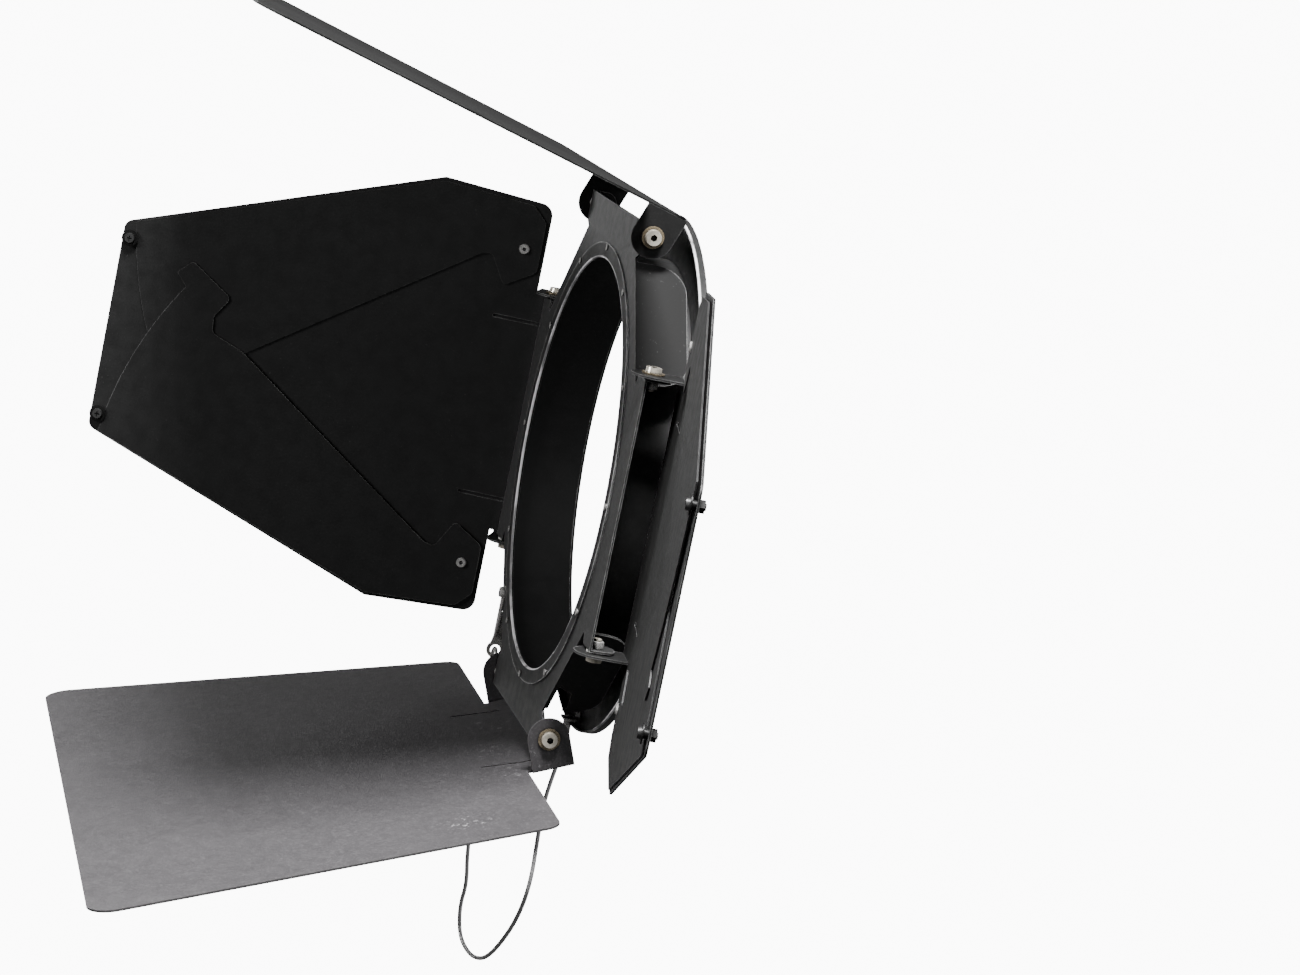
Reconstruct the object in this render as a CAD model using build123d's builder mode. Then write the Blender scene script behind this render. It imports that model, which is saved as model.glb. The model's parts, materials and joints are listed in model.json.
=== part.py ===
from build123d import *
from math import cos, sin, tan, pi, radians
import os

# Four-leaf barn door attachment for a round stage and film lamp.
# Millimetres.  +Z is up and the light leaves towards -Y.  The origin is the
# centre of the rear face of the mounting ring, on the optical axis.

os.makedirs("parts", exist_ok=True)

# ---- driving dimensions ----
SHEET = 1.5                 # sheet thickness of the frame and the doors
LEAF_SHEET = 1.0            # sheet thickness of the swinging leaves

PLATE_Y = -45.0             # front face of the face plate
PLATE_OPENING_R = 141.0     # opening cut in the face plate
DIAGONAL_R = 164.0          # outer face of a corner flange, from the axis
HEAD_R = 176.0              # outer edge of each hinge head of the plate
HEAD_HALF = 88.5            # half width of a hinge head over its ears
FLANGE_HALF = 48.0          # half length of a corner flange
FLANGE_DEPTH = 34.5         # depth of a corner flange behind the plate front

COLLAR_R = 146.0            # outside radius of the collar
COLLAR_LIP_R = 153.0        # front lip of the collar, riveted to the plate
RING_R = 177.0              # outside radius of the rear mounting ring
RING_RIM = 6.0              # length of the mounting ring's turned rim
RING_SHEET = 2.0            # thickness of the mounting ring

BEZEL_OUT_R = 150.0         # bright edged ring around the opening
BEZEL_IN_R = 139.5
RIVET_CIRCLE_R = 147.6
RIVET_COUNT = 12
RIVET_R = 1.3

HINGE_R = 168.0             # hinge axis from the optical axis
HINGE_Y = -39.0             # hinge axis, just behind the plate
EAR_HALF = 91.0             # half width of a door's hinge strip over its ears
EAR_R = 14.0                # rounding of an ear about the hinge axis
STRIP_N = 21.0              # hinge axis to the outer face of the hinge strip
BEND_D = 17.0               # hinge axis to the bend between strip and panel
BEND_ANGLE = 5.0            # the panel leans in from its hinge strip
BEND_R = 1.4                # outside radius of the folded ears
SLOT_S = 65.0               # pressed grooves on either side of the hinge strip
SLOT_BACK = 10.0            # groove end on the strip, from the hinge axis
SLOT_LENGTH = 28.0          # groove length on the panel
SLOT_R = 1.2                # half width of a groove
SLOT_DEPTH = 1.1            # grooves are on the inner face

BOLT_R = 2.5                # hinge bolts, M5
HEAD_BOLT_R = 5.5
PLATE_EAR_HOLE = 2.55
DOOR_EAR_HOLE = 2.56

SIDE_ROOT = 150.0           # half widths of a side door along its length
SIDE_WIDE = 155.0
SIDE_WIDE_D = 80.0
SIDE_TIP = 76.0
SIDE_LENGTH = 301.0
BIG_ROOT = 212.0            # half widths of the top and bottom doors
BIG_TIP = 266.0
BIG_LENGTH = 298.0

PIVOT_D = 15.0              # leaf pivot, from the bend and from the middle
PIVOT_S = 116.0
GUIDE_D = 295.0             # guide screw at the leaf's free end
GUIDE_S = 65.0
LOW_LEAF = 1.8              # panel's outer face to the near face of a leaf
HIGH_LEAF = 3.1
PIN_R = 2.0                 # shanks of pivot rivets and guide screws
LEAF_HOLE = 2.06

TOP, BOTTOM, LEFT, RIGHT = 90, 270, 180, 0
# Opening angle of each hinge strip: 0 lies across the opening, 90 points
# straight forward and 180 is folded right back.
REST = {TOP: 111.0, BOTTOM: 111.0, LEFT: 111.0, RIGHT: 174.5}

ANCHOR = (-107.6, -115.6)   # safety cable's screw on the face plate, x and z
CABLE_R = 1.5
TERMINAL_X = 8.0            # the cable's other end, under the mounting ring
TERMINAL_Y = -9.5
TERMINAL_Z = -182.0         # foot of the terminal, where the wire starts
LUG_RIVET_Z = -163.0
LOOP_CENTRE = (-112.0, -43.0, -163.0)
FERRULE_START = 6.5         # ferrule below the loop, along the wire
FERRULE_LENGTH = 10.0
CABLE_ROUTE = [
    (8.0, -9.5, -182.0),
    (8.0, -9.5, -197.0),
    (24.0, -16.5, -214.0),
    (45.0, -23.0, -226.0),
    (58.0, -25.0, -247.0),
    (63.0, -25.0, -272.0),
    (52.0, -25.0, -297.0),
    (26.0, -25.0, -323.0),
    (-18.0, -25.0, -354.0),
    (-60.0, -25.0, -368.0),
    (-98.0, -25.0, -372.0),
    (-124.0, -25.0, -369.0),
    (-139.0, -25.0, -354.0),
    (-131.0, -25.0, -335.0),
    (-151.0, -25.0, -318.0),
    (-160.0, -25.0, -285.0),
    (-151.0, -24.0, -241.0),
    (-129.0, -22.5, -213.0),
    (-114.0, -25.0, -185.0),
    (-113.16, -32.57, -175.74),
]


def out_of(phi):
    """Unit vector from the optical axis out to the side at angle phi."""
    return Vector(cos(radians(phi)), 0, sin(radians(phi)))


def along(phi):
    """Unit vector along the hinge of the side at angle phi."""
    return Vector(-sin(radians(phi)), 0, cos(radians(phi)))


def hinge_point(phi):
    return out_of(phi) * HINGE_R + Vector(0, HINGE_Y, 0)


def door_dir(phi, angle):
    """Direction in which a door opened to the given angle points."""
    a = radians(angle)
    return out_of(phi) * -cos(a) + Vector(0, -1, 0) * sin(a)


def door_normal(phi, angle):
    """Outward normal of a door opened to the given angle."""
    a = radians(angle)
    return out_of(phi) * sin(a) + Vector(0, -1, 0) * cos(a)


def strip_plane(phi):
    """Outer face of the hinge strip; x runs along the door and z inwards."""
    normal = door_normal(phi, REST[phi])
    origin = hinge_point(phi) + normal * STRIP_N
    return Plane(origin=origin, x_dir=door_dir(phi, REST[phi]), z_dir=normal * -1)


def panel_plane(phi):
    """Outer face of the panel, from the bend line; x along it and z inwards."""
    bend = hinge_point(phi) + door_dir(phi, REST[phi]) * BEND_D
    bend = bend + door_normal(phi, REST[phi]) * STRIP_N
    lean = REST[phi] - BEND_ANGLE
    return Plane(origin=bend, x_dir=door_dir(phi, lean), z_dir=door_normal(phi, lean) * -1)


def hinge_stations(distance):
    """Points on the four hinge axes at the given distance from each middle, z outwards."""
    places = []
    for phi in (TOP, BOTTOM, LEFT, RIGHT):
        for side in (-1, 1):
            origin = hinge_point(phi) + along(phi) * (side * distance)
            places.append(Plane(origin=origin, x_dir=out_of(phi), z_dir=along(phi) * side))
    return places


def ring_solid(place, outer, inner, height):
    """A plain washer or bush standing on the given plane."""
    with BuildPart() as washer:
        with BuildSketch(place):
            Circle(outer)
            Circle(inner, mode=Mode.SUBTRACT)
        extrude(amount=height)
    return washer.part


# ---- face plate: flat sheet with hinge heads, folded ears and corner flanges ----
NOTCH = 2 ** 0.5 * DIAGONAL_R
QUARTER = [
    (HEAD_R, HEAD_HALF),
    (156.0, HEAD_HALF),
    (NOTCH - 80.0, 80.0),
    (80.0, NOTCH - 80.0),
    (HEAD_HALF, 156.0),
    (HEAD_HALF, HEAD_R),
]
OUTLINE = list(QUARTER)
OUTLINE += [(-x, z) for x, z in reversed(QUARTER)]
OUTLINE += [(-x, -z) for x, z in QUARTER]
OUTLINE += [(x, -z) for x, z in reversed(QUARTER)]

with BuildPart() as face_plate:
    with BuildSketch(Plane.XZ.offset(-PLATE_Y - SHEET)):
        with BuildLine():
            Polyline(*OUTLINE, close=True)
        make_face()
        Circle(PLATE_OPENING_R, mode=Mode.SUBTRACT)
        with PolarLocations(RIVET_CIRCLE_R, RIVET_COUNT):
            Circle(RIVET_R, mode=Mode.SUBTRACT)
        with Locations(ANCHOR):
            Circle(2.0, mode=Mode.SUBTRACT)
    extrude(amount=SHEET)
    # folded ears at both ends of each hinge head
    for phi in (TOP, BOTTOM, LEFT, RIGHT):
        for low_face in (-HEAD_HALF, HEAD_HALF - SHEET):
            ear = Plane(origin=along(phi) * low_face, x_dir=out_of(phi), z_dir=along(phi))
            with BuildSketch(ear) as ear_sketch:
                with Locations(((156.0 + HEAD_R) / 2, PLATE_Y + 9)):
                    Rectangle(HEAD_R - 156.0, 18)
                fillet(ear_sketch.vertices().group_by(Axis.Y)[-1], 8)
                with Locations((HINGE_R, HINGE_Y)):
                    Circle(PLATE_EAR_HOLE, mode=Mode.SUBTRACT)
            extrude(amount=SHEET)
    folds = face_plate.edges().filter_by_position(Axis.Y, PLATE_Y - 0.01, PLATE_Y + 0.01)
    folds = folds.filter_by(lambda e: abs(e.length - HEAD_R + 156.0) < 0.01)
    fillet(folds, BEND_R)
    # corner flanges folded back along the diagonals
    for phi in (45, 135, 225, 315):
        flange_root = out_of(phi) * (DIAGONAL_R - SHEET)
        flange = Plane(origin=flange_root, x_dir=along(phi) * -1, z_dir=out_of(phi))
        with BuildSketch(flange) as flange_sketch:
            with Locations((0, PLATE_Y + FLANGE_DEPTH / 2)):
                Rectangle(2 * FLANGE_HALF, FLANGE_DEPTH)
            fillet(flange_sketch.vertices().group_by(Axis.Y)[-1], 20)
        extrude(amount=SHEET)
    # relief cut beside the bottom hinge in the two lower flanges
    for phi, toward in ((225, -1), (315, 1)):
        flange = Plane(origin=out_of(phi) * (DIAGONAL_R - 3), x_dir=along(phi) * -1, z_dir=out_of(phi))
        with BuildSketch(flange):
            with BuildLine():
                Polyline((toward * 20, PLATE_Y + 3), (toward * 26, PLATE_Y + 13),
                         (toward * 43, PLATE_Y + 15), (toward * 56, PLATE_Y + 9),
                         (toward * 56, PLATE_Y + 3), close=True)
            make_face()
        extrude(amount=6, mode=Mode.SUBTRACT)
face_plate.part.label = "face_plate"
export_step(face_plate.part, "parts/face_plate.step")

# ---- collar behind the plate ----
with BuildPart() as mount_collar:
    with BuildSketch(Plane.XY):
        with BuildLine():
            Polyline(
                (COLLAR_R - SHEET, PLATE_Y + SHEET), (COLLAR_LIP_R, PLATE_Y + SHEET),
                (COLLAR_LIP_R, PLATE_Y + 2 * SHEET), (COLLAR_R, PLATE_Y + 2 * SHEET),
                (COLLAR_R, -RING_SHEET), (COLLAR_R - SHEET, -RING_SHEET), close=True)
        make_face()
    revolve(axis=Axis.Y)
    with BuildSketch(Plane.XZ.offset(-PLATE_Y + 1)):
        with PolarLocations(RIVET_CIRCLE_R, RIVET_COUNT):
            Circle(RIVET_R)
    extrude(amount=-6, mode=Mode.SUBTRACT)
mount_collar.part.label = "mount_collar"
export_step(mount_collar.part, "parts/mount_collar.step")

# ---- rear mounting ring with its turned rim ----
with BuildPart() as mount_ring:
    with BuildSketch(Plane.XY):
        with BuildLine():
            Polyline(
                (COLLAR_R - SHEET, 0), (COLLAR_R - SHEET, -RING_SHEET), (RING_R - SHEET, -RING_SHEET),
                (RING_R - SHEET, -RING_RIM), (RING_R, -RING_RIM), (RING_R, 0), close=True)
        make_face()
    revolve(axis=Axis.Y)
    with BuildSketch(Plane.XZ.offset(3)):
        with Locations((TERMINAL_X, LUG_RIVET_Z)):
            Circle(2.0)
    extrude(amount=-6, mode=Mode.SUBTRACT)
mount_ring.part.label = "mount_ring"
export_step(mount_ring.part, "parts/mount_ring.step")

# ---- bright ring around the opening, and its rivets ----
with BuildPart() as bezel_ring:
    with BuildSketch(Plane.XZ.offset(-PLATE_Y)):
        Circle(BEZEL_OUT_R)
        Circle(BEZEL_IN_R, mode=Mode.SUBTRACT)
        with PolarLocations(RIVET_CIRCLE_R, RIVET_COUNT):
            Circle(RIVET_R, mode=Mode.SUBTRACT)
    extrude(amount=SHEET)
    opening_edges = bezel_ring.edges().filter_by(GeomType.CIRCLE).sort_by(SortBy.RADIUS)[-4:-2]
    fillet(opening_edges.sort_by(Axis.Y)[0], 0.9)
bezel_ring.part.label = "bezel_ring"
export_step(bezel_ring.part, "parts/bezel_ring.step")

with BuildPart() as bezel_rivets:
    with BuildSketch(Plane.XZ.offset(-PLATE_Y - 2 * SHEET)):
        with PolarLocations(RIVET_CIRCLE_R, RIVET_COUNT):
            Circle(RIVET_R)
    extrude(amount=3 * SHEET)
    with BuildSketch(Plane.XZ.offset(-PLATE_Y + SHEET)):
        with PolarLocations(RIVET_CIRCLE_R, RIVET_COUNT):
            Circle(2.2)
    extrude(amount=0.9)
    with BuildSketch(Plane.XZ.offset(-PLATE_Y - 2 * SHEET - 0.9)):
        with PolarLocations(RIVET_CIRCLE_R + 0.2, RIVET_COUNT):
            Circle(1.4)
    extrude(amount=0.9)
bezel_rivets.part.label = "bezel_rivets"
export_step(bezel_rivets.part, "parts/bezel_rivets.step")

# ---- hinge hardware: eight bolts, each with a spacer, a washer and a nut ----
with BuildPart() as hinge_bolts:
    for station in hinge_stations(EAR_HALF + 1.3):
        with BuildSketch(station):
            Circle(HEAD_BOLT_R)
        extrude(amount=3.3, taper=8)
        with BuildSketch(station.offset(-11.8)):
            Circle(BOLT_R)
        extrude(amount=11.8)
        with BuildSketch(station.offset(1.0)):
            RegularPolygon(2.3, 6)
        extrude(amount=2.4, mode=Mode.SUBTRACT)
hinge_bolts.part.label = "hinge_bolts"
export_step(hinge_bolts.part, "parts/hinge_bolts.step")

with BuildPart() as hinge_washers:
    for station in hinge_stations(EAR_HALF + 0.1):
        add(ring_solid(station, 7.3, BOLT_R, 1.2))
hinge_washers.part.label = "hinge_washers"
export_step(hinge_washers.part, "parts/hinge_washers.step")

with BuildPart() as hinge_spacers:
    for station in hinge_stations(HEAD_HALF):
        add(ring_solid(station, 6.0, BOLT_R, 0.9))
hinge_spacers.part.label = "hinge_spacers"
export_step(hinge_spacers.part, "parts/hinge_spacers.step")

with BuildPart() as hinge_nuts:
    for station in hinge_stations(HEAD_HALF - SHEET - 5):
        with BuildSketch(station):
            RegularPolygon(4.0, 6, major_radius=False)
            Circle(BOLT_R, mode=Mode.SUBTRACT)
        extrude(amount=5)
hinge_nuts.part.label = "hinge_nuts"
export_step(hinge_nuts.part, "parts/hinge_nuts.step")


# ---- doors: one sheet each, a hinge strip with two folded ears and a panel ----
def hinge_strip(phi):
    """The strip with its two ears, up to the bend line."""
    with BuildPart() as strip:
        with BuildSketch(strip_plane(phi)):
            with BuildLine():
                Polyline((-EAR_R, -EAR_HALF), (EAR_R, -EAR_HALF), (EAR_R, 3 - EAR_HALF),
                         (BEND_D, 3 - EAR_HALF), (BEND_D, EAR_HALF - 3), (EAR_R, EAR_HALF - 3),
                         (EAR_R, EAR_HALF), (-EAR_R, EAR_HALF), close=True)
            make_face()
        extrude(amount=SHEET)
        for low_face in (-EAR_HALF, EAR_HALF - SHEET):
            ear = Plane(origin=hinge_point(phi) + along(phi) * low_face,
                        x_dir=door_dir(phi, REST[phi]), z_dir=along(phi))
            with BuildSketch(ear):
                with Locations((0, STRIP_N / 2)):
                    Rectangle(2 * EAR_R, STRIP_N)
                Circle(EAR_R)
                Circle(DOOR_EAR_HOLE, mode=Mode.SUBTRACT)
            extrude(amount=SHEET)
        folds = strip.edges().filter_by(lambda e: abs(e.length - 2 * EAR_R) < 0.01)
        folds = folds.filter_by(lambda e: abs(abs(e.center().dot(along(phi))) - EAR_HALF) < 0.01)
        fillet(folds, BEND_R)
    return strip.part


def groove_cutter(phi):
    """The two pressed grooves across the bend, on the inner face."""
    with BuildPart() as cutter:
        strip_run = (strip_plane(phi), SLOT_BACK, BEND_D + 0.5)
        panel_run = (panel_plane(phi), -0.5, SLOT_LENGTH)
        for plane, start, end in (strip_run, panel_run):
            back = SLOT_R if start > 0 else 0
            front = SLOT_R if start < 0 else 0
            with BuildSketch(plane.offset(SHEET - SLOT_DEPTH)):
                for side in (-1, 1):
                    with Locations(((start + back + end - front) / 2, side * SLOT_S)):
                        Rectangle(end - front - start - back, 2 * SLOT_R)
                    with Locations((start + back if back else end - front, side * SLOT_S)):
                        Circle(SLOT_R)
            extrude(amount=2)
    return cutter.part


def side_door(phi):
    """A side door's panel is tapered and carries two leaves on its inner face."""
    with BuildPart() as door:
        with BuildSketch(panel_plane(phi)) as outline:
            with BuildLine():
                FilletPolyline(
                    (0, 0), (0, SIDE_ROOT), (SIDE_WIDE_D, SIDE_WIDE), (SIDE_LENGTH, SIDE_TIP),
                    (SIDE_LENGTH, -SIDE_TIP), (SIDE_WIDE_D, -SIDE_WIDE), (0, -SIDE_ROOT), (0, -1),
                    radius=[9, 5, 7, 7, 5, 9])
                Line((0, -1), (0, 0))
            make_face()
            with Locations((PIVOT_D, PIVOT_S), (PIVOT_D, -PIVOT_S)):
                Circle(PIN_R, mode=Mode.SUBTRACT)
            with Locations((GUIDE_D, GUIDE_S), (GUIDE_D, -GUIDE_S)):
                Circle(PIN_R, mode=Mode.SUBTRACT)
        extrude(amount=SHEET)
        add(hinge_strip(phi))
        add(groove_cutter(phi), mode=Mode.SUBTRACT)
    return door.part


def big_door(phi):
    """The top and bottom doors are plain and grow wider towards the free edge."""
    with BuildPart() as door:
        with BuildSketch(panel_plane(phi)):
            with BuildLine():
                FilletPolyline(
                    (0, 0), (0, BIG_ROOT), (BIG_LENGTH, BIG_TIP), (BIG_LENGTH, -BIG_TIP),
                    (0, -BIG_ROOT), (0, -1), radius=[12, 16, 16, 12])
                Line((0, -1), (0, 0))
            make_face()
        extrude(amount=SHEET)
        add(hinge_strip(phi))
        add(groove_cutter(phi), mode=Mode.SUBTRACT)
    return door.part


with BuildPart() as top_door:
    add(big_door(TOP))
top_door.part.label = "top_door"
export_step(top_door.part, "parts/top_door.step")

with BuildPart() as bottom_door:
    add(big_door(BOTTOM))
bottom_door.part.label = "bottom_door"
export_step(bottom_door.part, "parts/bottom_door.step")


# ---- side doors with their leaves, pivots and guide screws ----
def leaf(phi, side, height):
    """A swinging leaf: a quadrant about its pivot, with a slanted inner edge and a hook."""
    with BuildPart() as plate:
        with BuildSketch(panel_plane(phi).offset(height)):
            with BuildLine():
                FilletPolyline(
                    (292.9, side * 77.7), (80, side * 152.5), (14, side * 148), (3, side * 137),
                    (3, side * 101), (25, side * 87.5), (37, side * 108.5), (45, side * 106.5),
                    (200, side * -1), (224, side * -10), (225, side * -22), (215, side * -37),
                    (247, side * -58), (257, side * -48), (248.9, side * -38.8),
                    radius=[20, 6, 4, 6, 3, 4, 5, 8, 5, 4, 4, 3, 1.5])
                ThreePointArc((248.9, side * -38.8), (277.7, side * 17.5), (292.9, side * 77.7))
            make_face()
            with Locations((PIVOT_D, side * PIVOT_S)):
                Circle(LEAF_HOLE, mode=Mode.SUBTRACT)
        extrude(amount=LEAF_SHEET)
    return plate.part


def leaf_rivets(phi):
    """Pivot rivets of both leaves, headed on both faces."""
    with BuildPart() as rivets:
        for side, height in ((1, HIGH_LEAF), (-1, LOW_LEAF)):
            top = height + LEAF_SHEET + 0.3
            with BuildSketch(panel_plane(phi).offset(-1)):
                with Locations((PIVOT_D, side * PIVOT_S)):
                    Circle(4)
            extrude(amount=1)
            with BuildSketch(panel_plane(phi)):
                with Locations((PIVOT_D, side * PIVOT_S)):
                    Circle(PIN_R)
            extrude(amount=top)
            with BuildSketch(panel_plane(phi).offset(top)):
                with Locations((PIVOT_D, side * PIVOT_S)):
                    Circle(3.8)
            extrude(amount=1.3, taper=25)
            with BuildSketch(panel_plane(phi).offset(top + 0.2)):
                with Locations((PIVOT_D, side * PIVOT_S)):
                    Circle(1.3)
            extrude(amount=2, mode=Mode.SUBTRACT)
    return rivets.part


def guide_group(phi, start, height, outer, inner):
    """A pair of washers or bushes on the two guide screws."""
    with BuildPart() as pair:
        with BuildSketch(panel_plane(phi).offset(start)):
            with Locations((GUIDE_D, GUIDE_S), (GUIDE_D, -GUIDE_S)):
                Circle(outer)
                Circle(inner, mode=Mode.SUBTRACT)
        extrude(amount=height)
    return pair.part


def guide_screws(phi):
    """Pan head screws from the inner face, with a cross slot."""
    with BuildPart() as screws:
        for side in (-1, 1):
            with BuildSketch(panel_plane(phi).offset(-4)):
                with Locations((GUIDE_D, side * GUIDE_S)):
                    Circle(PIN_R)
            extrude(amount=9.2)
            with BuildSketch(panel_plane(phi).offset(5.2)):
                with Locations((GUIDE_D, side * GUIDE_S)):
                    Circle(3.8)
            extrude(amount=2.4, taper=12)
            with BuildSketch(panel_plane(phi).offset(6.4)):
                with Locations((GUIDE_D, side * GUIDE_S)):
                    Rectangle(3.6, 0.8)
                    Rectangle(0.8, 3.6)
            extrude(amount=2, mode=Mode.SUBTRACT)
    return screws.part


def guide_nuts(phi):
    """Hexagon nuts on the outer face."""
    with BuildPart() as nuts:
        with BuildSketch(panel_plane(phi).offset(-3.2)):
            with Locations((GUIDE_D, GUIDE_S), (GUIDE_D, -GUIDE_S)):
                RegularPolygon(3.5, 6, major_radius=False)
                Circle(PIN_R, mode=Mode.SUBTRACT)
        extrude(amount=3.2)
    return nuts.part


def pivot_spacer(phi):
    """Thin spacer that lifts the upper-lying leaf clear of the other one."""
    with BuildPart() as spacer:
        with BuildSketch(panel_plane(phi).offset(SHEET)):
            with Locations((PIVOT_D, PIVOT_S)):
                Circle(7)
                Circle(PIN_R, mode=Mode.SUBTRACT)
        extrude(amount=HIGH_LEAF - SHEET - 0.3)
    return spacer.part


for phi, name in ((LEFT, "left"), (RIGHT, "right")):
    # on the left door the side +1 leaf is the lower one, on the right the upper
    high_name = "lower" if phi == LEFT else "upper"
    low_name = "upper" if phi == LEFT else "lower"
    pieces = {
        f"{name}_door": side_door(phi),
        f"{name}_leaf_{high_name}": leaf(phi, 1, HIGH_LEAF),
        f"{name}_leaf_{low_name}": leaf(phi, -1, LOW_LEAF),
        f"{name}_leaf_rivets": leaf_rivets(phi),
        f"{name}_pivot_spacer": pivot_spacer(phi),
        f"{name}_guide_screws": guide_screws(phi),
        f"{name}_guide_bushes": guide_group(phi, SHEET, 2.9, 2.9, PIN_R),
        f"{name}_guide_washers": guide_group(phi, SHEET + 2.9, 0.8, 6.0, PIN_R),
        f"{name}_guide_nuts": guide_nuts(phi),
    }
    for label, piece in pieces.items():
        piece.label = label
        export_step(piece, f"parts/{label}.step")

# ---- safety cable: anchor screw, eye strap, terminal and the wire itself ----
strap_front = Plane.XZ.offset(-PLATE_Y + 1.2)
with BuildPart() as anchor_screw:
    with BuildSketch(Plane.XZ.offset(-PLATE_Y - SHEET - 5)):
        with Locations(ANCHOR):
            Circle(2.0)
    extrude(amount=SHEET + 5 + 1.2)
    with BuildSketch(strap_front):
        with Locations(ANCHOR):
            Circle(4.2)
    extrude(amount=2.8, taper=15)
    with BuildSketch(strap_front.offset(1.4)):
        with Locations(ANCHOR):
            Rectangle(4.4, 0.9)
            Rectangle(0.9, 4.4)
    extrude(amount=2, mode=Mode.SUBTRACT)
anchor_screw.part.label = "anchor_screw"
export_step(anchor_screw.part, "parts/anchor_screw.step")

with BuildPart() as anchor_nut:
    with BuildSketch(Plane.XZ.offset(-PLATE_Y - SHEET - 3.2)):
        with Locations(ANCHOR):
            RegularPolygon(3.5, 6, major_radius=False)
            Circle(2.0, mode=Mode.SUBTRACT)
    extrude(amount=3.2)
anchor_nut.part.label = "anchor_nut"
export_step(anchor_nut.part, "parts/anchor_nut.step")

# strap from the screw down to a folded tab that carries the eye
with BuildPart() as eye_strap:
    with BuildSketch(Plane.XZ.offset(-PLATE_Y)):
        with BuildLine():
            Polyline((-112.6, -110.5), (-102.6, -110.5), (-102.6, -121), (-107.6, -148),
                     (-112.6, -148), close=True)
        make_face()
        with Locations(ANCHOR):
            Circle(2.0, mode=Mode.SUBTRACT)
    extrude(amount=1.2)
    with BuildSketch(Plane(origin=(-112.6, 0, 0), x_dir=(0, 1, 0), z_dir=(1, 0, 0))) as tab:
        with BuildLine():
            Polyline((-46.2, -128), (-40, -133), (-38, -158), (-48, -158), (-46.2, -148), close=True)
        make_face()
        with Locations((-43.0, -158.0)):
            Circle(6.3)
            Circle(3.6, mode=Mode.SUBTRACT)
    extrude(amount=1.2)
eye_strap.part.label = "eye_strap"
export_step(eye_strap.part, "parts/eye_strap.step")

# loop of wire through the eye, closed by a crimped ferrule
wire_dir = (Vector(*CABLE_ROUTE[-2]) - Vector(*LOOP_CENTRE)).normalized()
ferrule_top = Vector(*LOOP_CENTRE) + wire_dir * FERRULE_START
with BuildPart() as cable_eye:
    with BuildSketch(Plane.XY.offset(LOOP_CENTRE[2])):
        with Locations((LOOP_CENTRE[0] + 5.5, LOOP_CENTRE[1])):
            Circle(CABLE_R)
    revolve(axis=Axis(LOOP_CENTRE, (0, 1, 0)))
    with BuildSketch(Plane(origin=ferrule_top - wire_dir * 2.5, z_dir=wire_dir)):
        Circle(2.9)
    extrude(amount=FERRULE_LENGTH + 2.5)
cable_eye.part.label = "cable_eye"
export_step(cable_eye.part, "parts/cable_eye.step")

# lug under the mounting ring that takes the wire's other end
with BuildPart() as ring_lug:
    with BuildSketch(Plane.XZ.offset(2)):
        with Locations((TERMINAL_X, -164)):
            Rectangle(12, 16)
        with Locations((TERMINAL_X, LUG_RIVET_Z)):
            Circle(2.0, mode=Mode.SUBTRACT)
    extrude(amount=SHEET)
    with BuildSketch(Plane.XY.offset(-172)):
        with Locations((TERMINAL_X, -7.75)):
            Rectangle(12, 11.5)
        with Locations((TERMINAL_X, TERMINAL_Y)):
            Circle(1.6, mode=Mode.SUBTRACT)
    extrude(amount=SHEET)
ring_lug.part.label = "ring_lug"
export_step(ring_lug.part, "parts/ring_lug.step")

with BuildPart() as lug_rivet:
    with BuildSketch(Plane.XZ):
        with Locations((TERMINAL_X, LUG_RIVET_Z)):
            Circle(2.0)
    extrude(amount=2 + SHEET)
    with BuildSketch(Plane.XZ.offset(2 + SHEET)):
        with Locations((TERMINAL_X, LUG_RIVET_Z)):
            Circle(3.8)
    extrude(amount=1.6, taper=15)
lug_rivet.part.label = "lug_rivet"
export_step(lug_rivet.part, "parts/lug_rivet.step")

with BuildPart() as cable_terminal:
    with BuildSketch(Plane.XY.offset(TERMINAL_Z)):
        with Locations((TERMINAL_X, TERMINAL_Y)):
            Circle(2.9)
    extrude(amount=-172 - TERMINAL_Z)
    with BuildSketch(Plane.XY.offset(-172)):
        with Locations((TERMINAL_X, TERMINAL_Y)):
            Circle(1.6)
    extrude(amount=SHEET)
    with BuildSketch(Plane.XY.offset(-172 + SHEET)):
        with Locations((TERMINAL_X, TERMINAL_Y)):
            Circle(2.8)
    extrude(amount=1.4)
cable_terminal.part.label = "cable_terminal"
export_step(cable_terminal.part, "parts/cable_terminal.step")


def bend_radii(route):
    """Largest comfortable bend at each inner point of the route."""
    radii = []
    for before, here, after in zip(route, route[1:], route[2:]):
        run_in = Vector(*here) - Vector(*before)
        run_out = Vector(*after) - Vector(*here)
        half_turn = radians(run_in.get_angle(run_out)) / 2
        radii.append(0.45 * min(run_in.length, run_out.length) / tan(half_turn))
    return radii


cable_radii = bend_radii(CABLE_ROUTE)
print("cable bend radii", [round(r, 1) for r in cable_radii])
with BuildPart() as safety_cable:
    with BuildLine() as wire_line:
        FilletPolyline(*CABLE_ROUTE, radius=cable_radii)
    wire_path = wire_line.wires()[0]
    with BuildSketch(Plane(origin=CABLE_ROUTE[0], z_dir=wire_path % 0)):
        Circle(CABLE_R)
    sweep(path=wire_path)
print("cable length", round(wire_path.length, 1))
print("cable volume ratio", round(safety_cable.part.volume / (pi * CABLE_R ** 2 * wire_path.length), 4))
safety_cable.part.label = "safety_cable"
export_step(safety_cable.part, "parts/safety_cable.step")
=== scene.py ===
"""Looks of a four-leaf barn door attachment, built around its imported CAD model."""

import json
import math

import bpy
from mathutils import Matrix, Vector


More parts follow.
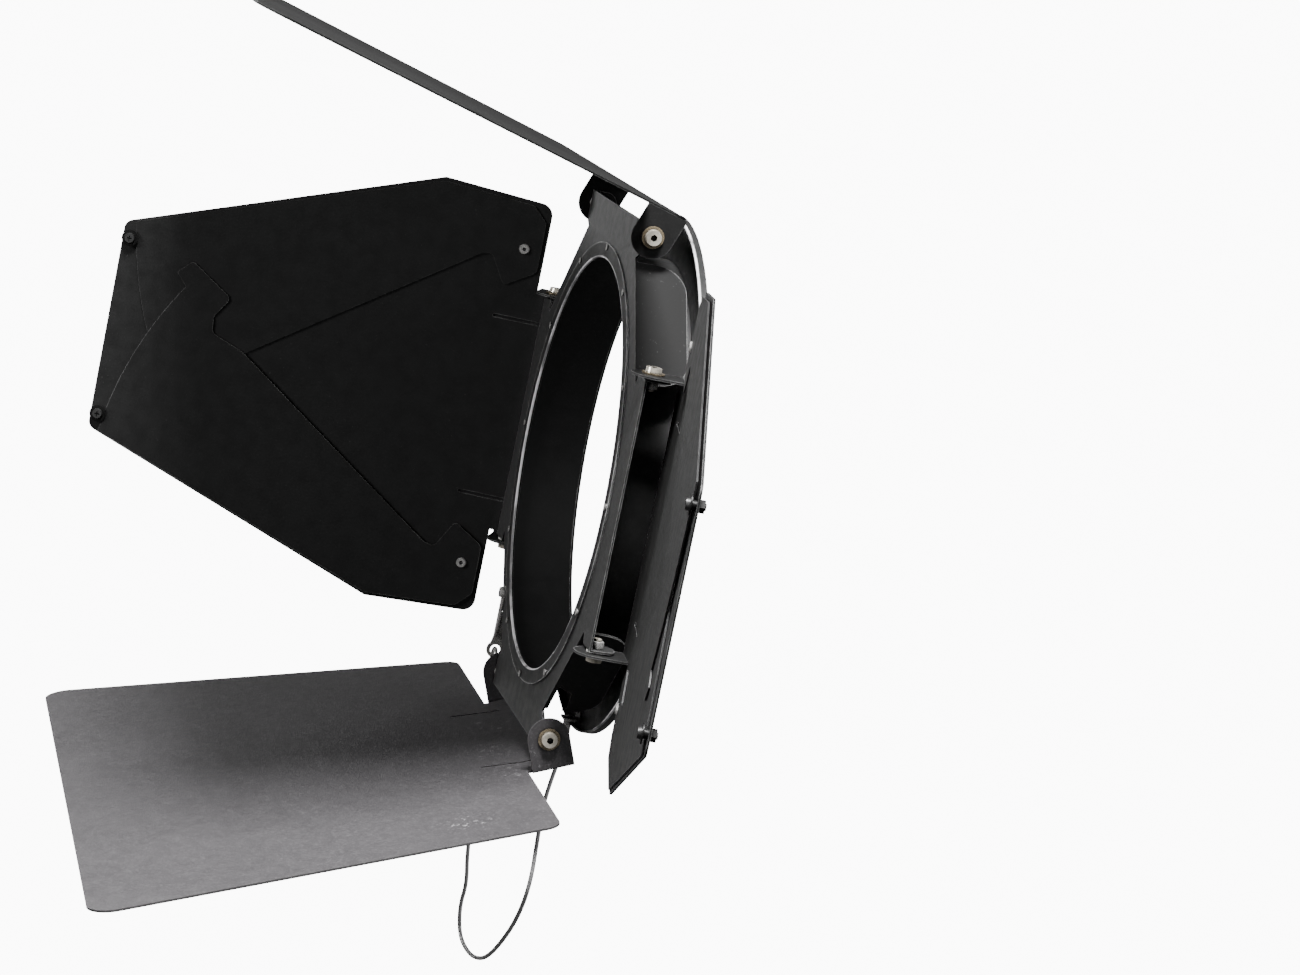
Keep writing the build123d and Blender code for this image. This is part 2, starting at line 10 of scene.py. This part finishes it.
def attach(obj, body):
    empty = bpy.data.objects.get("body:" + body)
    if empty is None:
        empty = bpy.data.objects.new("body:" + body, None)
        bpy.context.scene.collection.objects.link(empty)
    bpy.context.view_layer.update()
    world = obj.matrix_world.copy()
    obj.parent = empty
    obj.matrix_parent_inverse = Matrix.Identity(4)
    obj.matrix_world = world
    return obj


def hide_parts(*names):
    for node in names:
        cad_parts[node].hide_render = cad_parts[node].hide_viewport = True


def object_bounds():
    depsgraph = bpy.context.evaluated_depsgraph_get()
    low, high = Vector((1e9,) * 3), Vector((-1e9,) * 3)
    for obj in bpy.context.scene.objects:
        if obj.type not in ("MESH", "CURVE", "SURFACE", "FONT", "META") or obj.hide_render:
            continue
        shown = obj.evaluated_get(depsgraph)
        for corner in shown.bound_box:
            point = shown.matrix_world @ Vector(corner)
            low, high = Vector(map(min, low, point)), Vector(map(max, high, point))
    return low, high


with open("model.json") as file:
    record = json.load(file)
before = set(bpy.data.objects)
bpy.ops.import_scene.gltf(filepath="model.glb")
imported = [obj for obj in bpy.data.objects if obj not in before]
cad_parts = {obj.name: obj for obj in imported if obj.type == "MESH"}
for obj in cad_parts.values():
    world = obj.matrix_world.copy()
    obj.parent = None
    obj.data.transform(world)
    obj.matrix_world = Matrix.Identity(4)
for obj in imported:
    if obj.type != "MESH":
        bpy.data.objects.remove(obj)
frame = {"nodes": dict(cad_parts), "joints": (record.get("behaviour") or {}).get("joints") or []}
cad_low, cad_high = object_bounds()
nodes = frame["nodes"]

# ---- camera ----
CAMERA_PLACE = (2.4212, -0.5837, 0.3879)
AZIMUTH, ELEVATION, ROLL = (math.radians(a) for a in (76.1, 9.0, 11.8))
LENS_MM = 103.7


def make_camera():
    """A long lens from the attachment's right side, slightly above it and rolled."""
    back = Vector((math.sin(AZIMUTH) * math.cos(ELEVATION),
                   -math.cos(AZIMUTH) * math.cos(ELEVATION), math.sin(ELEVATION)))
    level = (-back).cross(Vector((0, 0, 1))).normalized()
    above = level.cross(-back)
    right = level * math.cos(ROLL) + above * math.sin(ROLL)
    up = above * math.cos(ROLL) - level * math.sin(ROLL)
    data = bpy.data.cameras.new("camera")
    data.lens, data.sensor_width = LENS_MM, 36
    data.clip_start, data.clip_end = 0.05, 60
    camera = bpy.data.objects.new("camera", data)
    bpy.context.scene.collection.objects.link(camera)
    turn = Matrix((right, up, back)).transposed().to_4x4()
    camera.matrix_world = Matrix.Translation(CAMERA_PLACE) @ turn
    bpy.context.scene.camera = camera


make_camera()

# ---- safety cable ----
CABLE_DIAMETER = 0.003
CABLE_ROUTE = [
    (0.0080, -0.0095, -0.1820),
    (0.0080, -0.0095, -0.1970),
    (0.0240, -0.0165, -0.2140),
    (0.0450, -0.0230, -0.2260),
    (0.0580, -0.0250, -0.2470),
    (0.0630, -0.0250, -0.2720),
    (0.0520, -0.0250, -0.2970),
    (0.0260, -0.0250, -0.3230),
    (-0.0180, -0.0250, -0.3540),
    (-0.0600, -0.0250, -0.3680),
    (-0.0980, -0.0250, -0.3720),
    (-0.1240, -0.0250, -0.3690),
    (-0.1390, -0.0250, -0.3540),
    (-0.1310, -0.0250, -0.3350),
    (-0.1510, -0.0250, -0.3180),
    (-0.1600, -0.0250, -0.2850),
    (-0.1510, -0.0240, -0.2410),
    (-0.1290, -0.0225, -0.2130),
    (-0.1140, -0.0250, -0.1850),
    (-0.11316, -0.03257, -0.17574),
]


def link(obj):
    bpy.context.scene.collection.objects.link(obj)
    return obj


def make_cable():
    """The wire in its clear sleeve, one smooth spline through its hanging shape."""
    curve = bpy.data.curves.new("cable_wire", "CURVE")
    curve.dimensions = "3D"
    spline = curve.splines.new("NURBS")
    spline.points.add(len(CABLE_ROUTE) - 1)
    for point, place in zip(spline.points, CABLE_ROUTE):
        point.co = (*place, 1)
        point.radius = CABLE_DIAMETER / 2
    spline.order_u = 3
    spline.use_endpoint_u = True
    spline.resolution_u = 10
    curve.bevel_depth = 1.0     # the points carry the wire's radius, so the curve's box is true
    curve.bevel_resolution = 4
    return link(bpy.data.objects.new("cable_wire", curve))


cable = make_cable()
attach(cable, "frame")
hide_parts("safety_cable")


# ---- materials ----
# noise scales, in cells per metre
CLOUD, SHEEN, BROKEN_EDGE, HAIRLINE = 5, 90, 45, 60
SPECKLE, PEEL, FINE_PEEL = 700, 420, 1500
STAIN, BRUSHING = 160, 1800
PEEL_DEPTH = 0.00006
BRUSH_DEPTH = 0.000015
GROOVE_SHADE_REACH = 0.0022       # how far the painted shade reaches into a groove in a sheet
SOCKET_SHADE_REACH = 0.0045       # the same painted shade, for a bolt's socket


class Graph:
    """Small helper to build a material's node tree."""

    def __init__(self, name):
        self.material = bpy.data.materials.new(name)
        self.material.use_nodes = True
        self.tree = self.material.node_tree
        self.shader = self.tree.nodes["Principled BSDF"]
        self.place = self.add("ShaderNodeTexCoord").outputs["Object"]

    def add(self, kind, inputs=None, **settings):
        node = self.tree.nodes.new(kind)
        for key, value in settings.items():
            setattr(node, key, value)
        for key, value in (inputs or {}).items():
            self.put(node.inputs[key], value)
        return node

    def put(self, socket, value):
        if isinstance(value, bpy.types.NodeSocket):
            self.tree.links.new(value, socket)
        else:
            socket.default_value = value

    def noise(self, scale, detail=3.0, roughness=0.5, stretch=None, distortion=0.0, place=None):
        place = place or self.place
        if stretch:
            place = self.add("ShaderNodeMapping", {"Vector": place, "Scale": stretch}).outputs[0]
        node = self.add("ShaderNodeTexNoise", {"Vector": place, "Scale": scale, "Detail": detail,
                                               "Roughness": roughness, "Distortion": distortion})
        return node.outputs["Fac"]

    def ramp(self, value, low, high, to_low=0.0, to_high=1.0):
        return self.add("ShaderNodeMapRange", {"Value": value, "From Min": low, "From Max": high,
                                               "To Min": to_low, "To Max": to_high},
                        interpolation_type="SMOOTHSTEP").outputs[0]

    def math(self, operation, a, b=0.0, clamp=False):
        node = self.add("ShaderNodeMath", operation=operation, use_clamp=clamp)
        self.put(node.inputs[0], a)
        self.put(node.inputs[1], b)
        return node.outputs[0]

    def mix(self, amount, a, b):
        node = self.add("ShaderNodeMix", data_type="RGBA")
        self.put(node.inputs["Factor"], amount)
        self.put(node.inputs[6], a)
        self.put(node.inputs[7], b)
        return node.outputs[2]

    def edges(self, radius):
        """1 on an outer or inner edge, 0 on the open surface."""
        rounded = self.add("ShaderNodeBevel", {"Radius": radius}, samples=6).outputs[0]
        flat = self.add("ShaderNodeNewGeometry").outputs["Normal"]
        dot = self.add("ShaderNodeVectorMath", operation="DOT_PRODUCT")
        self.put(dot.inputs[0], rounded)
        self.put(dot.inputs[1], flat)
        return self.ramp(dot.outputs["Value"], 0.995, 0.90)

    def painted_shade(self, reach):
        """Painted shade mask: 1 on open surface, falling to 0 down in a groove, recess or gap."""
        node = self.add("ShaderNodeAmbientOcclusion", {"Distance": reach}, samples=6)
        return self.ramp(node.outputs["AO"], 0.45, 0.92)

    def facing_front(self):
        """1 on faces square to the front, falling to 0 on the flanges and edges."""
        normal = self.add("ShaderNodeTexCoord").outputs["Normal"]
        parts = self.add("ShaderNodeSeparateXYZ", {"Vector": normal})
        return self.ramp(self.math("ABSOLUTE", parts.outputs["Y"]), 0.3, 0.9)

    def bump(self, height, distance):
        node = self.add("ShaderNodeBump", {"Height": height, "Distance": distance, "Strength": 1.0})
        self.put(self.shader.inputs["Normal"], node.outputs[0])


def grey(level, tint=(1, 1, 1)):
    return (level * tint[0], level * tint[1], level * tint[2], 1)


def paint(name, level, edge_wear_and_highlight_level, rough, wear=0.6, grain=1.0, tint=(1, 1, 1), marks=None,
          cloudy=0.28, edge_reach=0.0009, mark_level=0.42, side_shade=1.0, gloss=0.5):
    """Baked black paint: fine orange peel, cloudy tone, worn edges that are lighter partly as a
    painted highlight, a few hairline rubs, and painted shade down in grooves and gaps.

    level and edge_wear_and_highlight_level are its tone and the tone of its worn edges (partly a
    painted highlight), marks adds scuffs, rubs or a painted rim highlight in mark_level, and
    side_shade paints shade on the faces that don't look to the front, darkening them, and also
    dulls them.
    """
    g = Graph(name)
    cloud = g.noise(CLOUD, 2, 0.45)
    speck = g.noise(SPECKLE, 2, 0.6)
    darker, lighter = grey(level * (1 - cloudy), tint), grey(level * (1 + cloudy), tint)
    base = g.mix(g.ramp(cloud, 0.30, 0.72), darker, lighter)
    base = g.mix(g.math("MULTIPLY", g.ramp(speck, 0.50, 0.75), 0.45), base, grey(level * 2.4, tint))
    finish = g.ramp(g.noise(SHEEN, 3, 0.55), 0.3, 0.7, *rough)
    # painted shade on the faces that don't look to the front: their tone is scaled down
    if side_shade != 1.0:
        front = g.facing_front()
        base = g.mix(front, grey(level * side_shade, tint), base)
        finish = g.math("MAXIMUM", finish, g.ramp(front, 0.0, 1.0, 0.95, 0.0))
    hair = g.noise(HAIRLINE, 2, 0.5, stretch=(1, 14, 14), distortion=0.3)
    hair = g.math("MULTIPLY", g.ramp(hair, 0.70, 0.76), 0.25)
    base = g.mix(hair, base, grey(edge_wear_and_highlight_level * 0.5, tint))
    # worn edges, lighter: partly real wear, partly a painted highlight along edges and groove lips
    edge = g.edges(edge_reach)
    broken = g.ramp(g.noise(BROKEN_EDGE, 4, 0.65), 0.30, 0.62, 0.25, 1.0)
    edge = g.math("MULTIPLY", g.math("MULTIPLY", edge, broken), wear)
    base = g.mix(edge, base, grey(edge_wear_and_highlight_level, tint))
    if marks:
        base = g.mix(marks(g), base, grey(mark_level, (1, 0.98, 1.0)))
    # painted shade: grooves, recesses and gaps between parts darkened almost to black
    base = g.mix(g.painted_shade(GROOVE_SHADE_REACH), grey(0.001), base)
    g.put(g.shader.inputs["Base Color"], base)
    g.put(g.shader.inputs["Roughness"], finish)
    g.shader.inputs["Specular IOR Level"].default_value = gloss
    fine = g.math("MULTIPLY", g.noise(FINE_PEEL, 2, 0.6), 0.5)
    g.bump(g.math("ADD", g.noise(PEEL, 2, 0.5), fine), PEEL_DEPTH * grain)
    return g.material


def metal(name, colour, rough):
    """Plated or bare steel with fine brushing, slight discolouring and painted shade in its sockets
    and recesses.
    """
    g = Graph(name)
    stain = g.ramp(g.noise(STAIN, 4, 0.6), 0.35, 0.7)
    dark = tuple(c * 0.62 for c in colour)
    tone = g.mix(stain, (*colour, 1), (*dark, 1))
    # painted shade: sockets, recesses and gaps on the metal parts darkened almost to black
    g.put(g.shader.inputs["Base Color"], g.mix(g.painted_shade(SOCKET_SHADE_REACH), grey(0.004), tone))
    g.shader.inputs["Metallic"].default_value = 0.6
    brush = g.noise(BRUSHING, 3, 0.6)
    g.put(g.shader.inputs["Roughness"], g.ramp(brush, 0.3, 0.7, rough * 0.75, rough * 1.35))
    g.bump(brush, BRUSH_DEPTH)
    return g.material


def plastic(name, level, rough, tint=(1, 1, 1)):
    """Moulded nylon, or the clear sleeve over the wire, with a slight unevenness."""
    g = Graph(name)
    tone = g.ramp(g.noise(240, 3, 0.5), 0.35, 0.65)
    g.put(g.shader.inputs["Base Color"], g.mix(tone, grey(level, tint), grey(level * 0.8, tint)))
    g.put(g.shader.inputs["Roughness"], g.ramp(tone, 0, 1, rough, rough * 1.2))
    g.bump(g.noise(1200, 2, 0.5), 0.00004)
    return g.material


def spot(g, centre, radius):
    """1 at a place on the surface, fading to 0 at the given distance."""
    away = g.add("ShaderNodeVectorMath", operation="DISTANCE")
    g.put(away.inputs[0], g.place)
    away.inputs[1].default_value = centre
    return g.ramp(away.outputs["Value"], radius, 0.0)


SCUFF_PLACES = ((-0.03, -0.055, -0.194), (0.03, -0.060, -0.195), (0.085, -0.055, -0.194),
                (0.18, -0.10, -0.21))
SCUFF_RADIUS = 0.030


def bottom_scuffs(g):
    """Chalky scuffs where the bottom flap has knocked the plate, near its bend."""
    chips = g.ramp(g.noise(260, 5, 0.72), 0.57, 0.66, 0.0, 0.6)
    dust = g.ramp(g.noise(240, 6, 0.75), 0.50, 0.85, 0.0, 0.14)
    near = 0.0
    for place in SCUFF_PLACES:
        near = g.math("ADD", near, spot(g, place, SCUFF_RADIUS), clamp=True)
    return g.math("ADD", g.math("MULTIPLY", chips, near), dust, clamp=True)


def rim_wear_and_highlight(radius, height, width):
    """A painted highlight along the round edge of that radius, at that height on the light's axis,
    broken up like rubbed bare metal.
    """
    def marks(g):
        flat = g.add("ShaderNodeMapping", {"Vector": g.place, "Scale": (1, 0, 1)}).outputs[0]
        away = g.add("ShaderNodeVectorMath", operation="LENGTH")
        g.put(away.inputs[0], flat)
        depth = g.add("ShaderNodeSeparateXYZ", {"Vector": g.place}).outputs["Y"]
        off_r = g.math("SUBTRACT", away.outputs["Value"], radius)
        off_y = g.math("SUBTRACT", depth, height)
        squares = g.math("ADD", g.math("MULTIPLY", off_r, off_r), g.math("MULTIPLY", off_y, off_y))
        off = g.math("SQRT", squares)
        rubbed = g.ramp(g.noise(28, 4, 0.6), 0.36, 0.56, 0.2, 1.0)
        return g.math("MULTIPLY", g.ramp(off, width, width * 0.6), rubbed)
    return marks


def swing_marks(pivot):
    """Faint arcs that a leaf has rubbed about its pivot."""
    def marks(g):
        away = g.add("ShaderNodeVectorMath", operation="DISTANCE")
        g.put(away.inputs[0], g.place)
        away.inputs[1].default_value = pivot
        ring = g.add("ShaderNodeCombineXYZ", {"X": away.outputs["Value"]}).outputs[0]
        lines = g.ramp(g.noise(420, 2, 0.6, place=ring), 0.66, 0.76, 0.0, 0.10)
        return g.math("MULTIPLY", lines, g.ramp(g.noise(14, 3), 0.45, 0.65))
    return marks


def joint_place(name):
    return next(tuple(j["pos_m"]) for j in frame["joints"] if j["name"] == name)


RING_EDGE = (0.177, -0.006)         # radius, and height along the light's axis
BEZEL_EDGE = (0.1396, -0.0461)

# painted shade: the face plate's flanges and side faces are painted far darker than its front
FRAME_PAINT = paint("frame_paint", 0.028, 0.24, rough=(0.40, 0.52), wear=0.7, side_shade=0.08)
# painted highlight: the ring's edges and rim line lightened for its bright edge, partly worn bare
# metal
RING_PAINT = paint("ring_paint", 0.014, 0.60, rough=(0.36, 0.48), wear=1.0,
                   marks=rim_wear_and_highlight(*RING_EDGE, 0.0017), mark_level=0.85)
COLLAR_PAINT = paint("collar_paint", 0.006, 0.10, rough=(0.50, 0.62), wear=0.3)
# painted highlight: the bezel's edges and rim line lightened for its bright edges, partly worn bare
# metal
BEZEL_PAINT = paint("bezel_paint", 0.022, 0.62, rough=(0.30, 0.42), wear=1.0, edge_reach=0.0014,
                    marks=rim_wear_and_highlight(*BEZEL_EDGE, 0.0014), mark_level=0.90)
FLAP_PAINT = paint("flap_paint", 0.003, 0.30, rough=(0.50, 0.60), wear=0.5)
# painted light: the bottom flap's black paint made far lighter than the other flaps', a painted
# sheen from the lamp above; its scuffs are its own marks
BOTTOM_LIT_PAINT = paint("bottom_flap_lit_paint", 0.050, 0.10, rough=(0.40, 0.52), grain=1.6, wear=0.5,
                     tint=(1.03, 0.98, 1.03), marks=bottom_scuffs, cloudy=0.12)
TOP_PAINT = paint("top_flap_paint", 0.006, 0.14, rough=(0.60, 0.70), wear=0.5, gloss=0.24)
PLATED = metal("plated_steel", (0.78, 0.77, 0.75), 0.26)
NICKEL = metal("nickel_bolt", (0.92, 0.86, 0.74), 0.16)
BRASSY = metal("brassy_washer", (0.46, 0.38, 0.26), 0.26)
NYLON = plastic("natural_nylon", 0.72, 0.45, (1, 0.99, 0.94))
BLACK_STEEL = metal("black_oxide", (0.012, 0.012, 0.012), 0.45)
SCREW_STEEL = metal("worn_black_oxide", (0.07, 0.07, 0.07), 0.36)
WIRE = plastic("sleeved_wire", 0.62, 0.30, (1, 1, 1.01))

FINISHES = {
    "face_plate": FRAME_PAINT, "mount_collar": COLLAR_PAINT, "mount_ring": RING_PAINT,
    "bezel_ring": BEZEL_PAINT, "bezel_rivets": PLATED,
    "top_door": TOP_PAINT, "bottom_door": BOTTOM_LIT_PAINT,
    "left_door": FLAP_PAINT, "right_door": FLAP_PAINT,
    "hinge_bolts": NICKEL, "hinge_washers": BRASSY, "hinge_spacers": NYLON, "hinge_nuts": PLATED,
    "anchor_screw": PLATED, "anchor_nut": PLATED, "eye_strap": PLATED, "cable_eye": PLATED,
    "ring_lug": PLATED, "lug_rivet": PLATED, "cable_terminal": PLATED,
}
for hand in ("left", "right"):
    FINISHES[f"{hand}_leaf_rivets"] = PLATED
    FINISHES[f"{hand}_pivot_spacer"] = PLATED
    for kind in ("screws", "bushes", "washers", "nuts"):
        FINISHES[f"{hand}_guide_{kind}"] = SCREW_STEEL if kind == "screws" else BLACK_STEEL
    for height in ("upper", "lower"):
        pivot = joint_place(f"{hand}_{height}_leaf_pivot")
        FINISHES[f"{hand}_leaf_{height}"] = paint(
            f"{hand}_{height}_leaf_paint", 0.003, 0.20, rough=(0.50, 0.60),
            wear=0.7 if height == "lower" else 0.25, marks=swing_marks(pivot))


SHEET_ROUND, BOLT_ROUND = 0.00022, 0.0003
WELD_REACH = 0.00001
SHARP = math.radians(30)


def soften(obj, width):
    """A small rounding of every sharp edge, as folded and tumbled sheet has."""
    for polygon in obj.data.polygons:
        polygon.use_smooth = True
    weld = obj.modifiers.new("edge_weld", "WELD")
    weld.merge_threshold = WELD_REACH
    bevel = obj.modifiers.new("edge_round", "BEVEL")
    bevel.width, bevel.segments = width, 2
    bevel.limit_method, bevel.angle_limit = "ANGLE", SHARP
    normals = obj.modifiers.new("flat_faces", "WEIGHTED_NORMAL")
    normals.mode, normals.weight = "FACE_AREA", 100


for name, finish in FINISHES.items():
    mesh = nodes[name].data
    mesh.materials.clear()
    mesh.materials.append(finish)
cable.data.materials.append(WIRE)

SHEETS = ("face_plate", "mount_collar", "mount_ring",
          "top_door", "bottom_door", "left_door", "right_door",
          "left_leaf_upper", "left_leaf_lower", "right_leaf_upper", "right_leaf_lower")
for name in SHEETS:
    soften(nodes[name], SHEET_ROUND)
for name in ("hinge_bolts", "hinge_nuts", "anchor_screw", "anchor_nut"):
    soften(nodes[name], BOLT_ROUND)

# ---- floor and light ----
FLOOR_Z = cad_low.z - 0.12
FLOOR_HALF = 60
FILL = 0.10                 # how brightly the surroundings light the object
MATCH = 0.905               # the surroundings look as bright as the paper
PALE = 12.0                 # how bright the paper and the surroundings look


def make_floor():
    """A pale paper floor, evenly lit, that throws no light up on the object."""
    mesh = bpy.data.meshes.new("floor")
    half = FLOOR_HALF
    mesh.from_pydata([(-half, -half, FLOOR_Z), (half, -half, FLOOR_Z), (half, half, FLOOR_Z),
                      (-half, half, FLOOR_Z)], [], [(0, 1, 2, 3)])
    floor = link(bpy.data.objects.new("floor", mesh))
    floor.visible_diffuse = floor.visible_glossy = False
    g = Graph("floor_paper")
    g.shader.inputs["Base Color"].default_value = grey(0.02)
    g.shader.inputs["Roughness"].default_value = 1.0
    g.shader.inputs["Specular IOR Level"].default_value = 0.0
    tone = g.ramp(g.noise(2, 2), 0.3, 0.7)
    g.put(g.shader.inputs["Emission Color"], g.mix(tone, grey(0.90), grey(0.91)))
    g.shader.inputs["Emission Strength"].default_value = PALE
    mesh.materials.append(g.material)


def make_light(name, place, aim, size, power):
    data = bpy.data.lights.new(name, "AREA")
    data.shape, data.size, data.size_y, data.energy = "RECTANGLE", size[0], size[1], power
    light = link(bpy.data.objects.new(name, data))
    light.location = place
    light.rotation_mode = "QUATERNION"
    light.rotation_quaternion = (Vector(aim) - Vector(place)).to_track_quat("-Z", "Y")
    light.visible_camera = False


def make_world():
    """Pale all round to the camera, and a dim even fill on the object itself."""
    world = bpy.data.worlds.new("studio")
    world.use_nodes = True
    bpy.context.scene.world = world
    tree = world.node_tree
    background = tree.nodes["Background"]
    background.inputs["Color"].default_value = (1, 1, 1, 1)
    path = tree.nodes.new("ShaderNodeLightPath")
    level = tree.nodes.new("ShaderNodeMapRange")
    level.inputs["To Min"].default_value = FILL
    level.inputs["To Max"].default_value = MATCH * PALE
    tree.links.new(path.outputs["Is Camera Ray"], level.inputs["Value"])
    tree.links.new(level.outputs[0], background.inputs["Strength"])


make_floor()
make_world()
make_light("near_softbox", (0.98, -0.40, 2.3), (0.15, -0.25, -0.25), (0.7, 0.7), 310)
make_light("far_softbox", (-2.4, -1.5, 0.6), (0, -0.2, -0.25), (1.2, 0.9), 24)
make_light("front_fill", (0.6, -2.9, 0.9), (0, 0, 0), (1.0, 1.0), 62)
make_light("rear_rim", (1.2, 2.2, 1.3), (0, 0, 0), (1.0, 1.0), 22)
